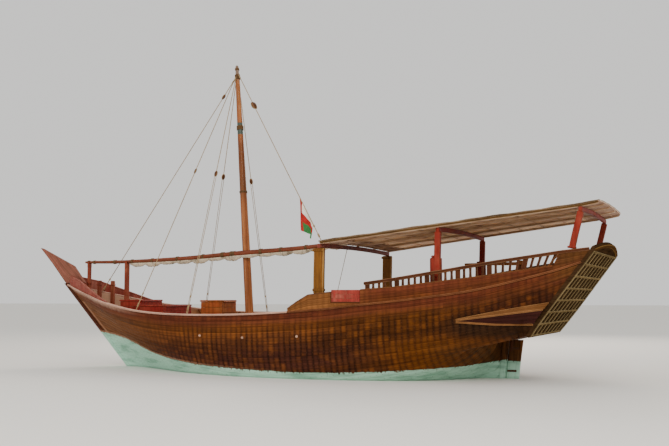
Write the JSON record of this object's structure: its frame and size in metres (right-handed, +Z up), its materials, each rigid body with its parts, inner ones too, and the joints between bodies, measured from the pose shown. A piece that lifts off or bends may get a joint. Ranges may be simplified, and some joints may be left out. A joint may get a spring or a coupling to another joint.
{
  "type": "dhow sailing boat",
  "caption": "Wooden dhow afloat with a raked stem, raked transom, one mast with its yard lowered, a long matted canopy over the poop, rudder and tiller.",
  "frame": {"origin": "on the waterline plane, on the centreline, midway along the waterline", "axes": "+X towards the bow, +Y to port, +Z up"},
  "size_m": [17.9159, 5.308, 10.4829],
  "materials": {
    "hull_planking": "satin",
    "bottom_paint": "matt",
    "dark_timber": "satin",
    "red_paint": "matt",
    "deck_planking": "matt",
    "bleached_rail": "matt",
    "ochre_timber": "satin",
    "transom_timber": "matt",
    "mast_timber": "satin",
    "matting": "matt",
    "sailcloth": "matt",
    "rope": "matt",
    "flag_cloth": "matt"
  },
  "bodies": {
    "boat": {"hull": "hull_planking", "keel": "bottom_paint", "stem_post": "dark_timber", "stem_head": "red_paint", "stern_post": "bottom_paint", "main_deck": "deck_planking", "poop_deck": "deck_planking", "bulwark_port": "hull_planking", "bulwark_starboard": "hull_planking", "rail_port": "bleached_rail", "rail_starboard": "bleached_rail", "quarter_bulwark_port": "hull_planking", "quarter_bulwark_starboard": "hull_planking", "bow_board_port": "red_paint", "bow_board_starboard": "red_paint", "balustrade_port": "dark_timber", "balustrade_starboard": "dark_timber", "quarter_moulding_port": "ochre_timber", "quarter_moulding_starboard": "ochre_timber", "mooring_post_port": "red_paint", "mooring_post_starboard": "red_paint", "transom": "transom_timber", "transom_lattice": "transom_timber", "mast": "mast_timber", "mast_partners": "dark_timber", "crutch_post_fore": "red_paint", "crutch_post_aft": "red_paint", "canopy_roof": "matting", "canopy_frame": "dark_timber", "post_front_port": "ochre_timber", "post_middle_port": "red_paint", "post_aft_port": "red_paint", "post_front_starboard": "ochre_timber", "post_middle_starboard": "red_paint", "post_aft_starboard": "red_paint", "locker_fore": "red_paint", "locker_aft": "red_paint", "hatch": "ochre_timber", "forestay": "rope", "shroud_port_fore": "rope", "shroud_port_aft": "rope", "shroud_starboard_fore": "rope", "shroud_starboard_aft": "rope", "backstay": "rope", "flag": "flag_cloth"},
    "steering": {"rudder": "dark_timber", "tiller": "ochre_timber"},
    "spar": {"yard": "dark_timber", "furled_sail": "sailcloth", "parrel": "rope"},
    "gate": {"boarding_gate": "red_paint"},
    "fore_lid": {"locker_fore_lid": "red_paint"},
    "aft_lid": {"locker_aft_lid": "red_paint"},
    "hatch_cover": {"hatch_lid": "ochre_timber"}
  },
  "joints": [
    {"name": "rudder_turn", "type": "hinge", "parent": "boat", "child": "steering", "pos_m": [-5.765, 0, 0], "axis": [-0.1191, 0, 0.9929], "range_deg": [-35, 35]},
    {"name": "yard_hoist", "type": "slide", "parent": "boat", "child": "spar", "axis": [0.0649, 0, 0.9979], "range_m": [0, 3.2]},
    {"name": "gate_swing", "type": "hinge", "parent": "boat", "child": "gate", "pos_m": [-2.6345, 2.54262, 1.958], "axis": [0, 0, -1], "range_deg": [0, 90]},
    {"name": "fore_lid_lift", "type": "hinge", "parent": "boat", "child": "fore_lid", "pos_m": [5.2245, 0, 1.9853], "axis": [0, -1, 0], "range_deg": [0, 95]},
    {"name": "aft_lid_lift", "type": "hinge", "parent": "boat", "child": "aft_lid", "pos_m": [4.2845, 0, 1.8353], "axis": [0, -1, 0], "range_deg": [0, 95]},
    {"name": "hatch_lift", "type": "hinge", "parent": "boat", "child": "hatch_cover", "pos_m": [2.5045, 0, 1.9703], "axis": [0, -1, 0], "range_deg": [0, 95]}
  ]
}
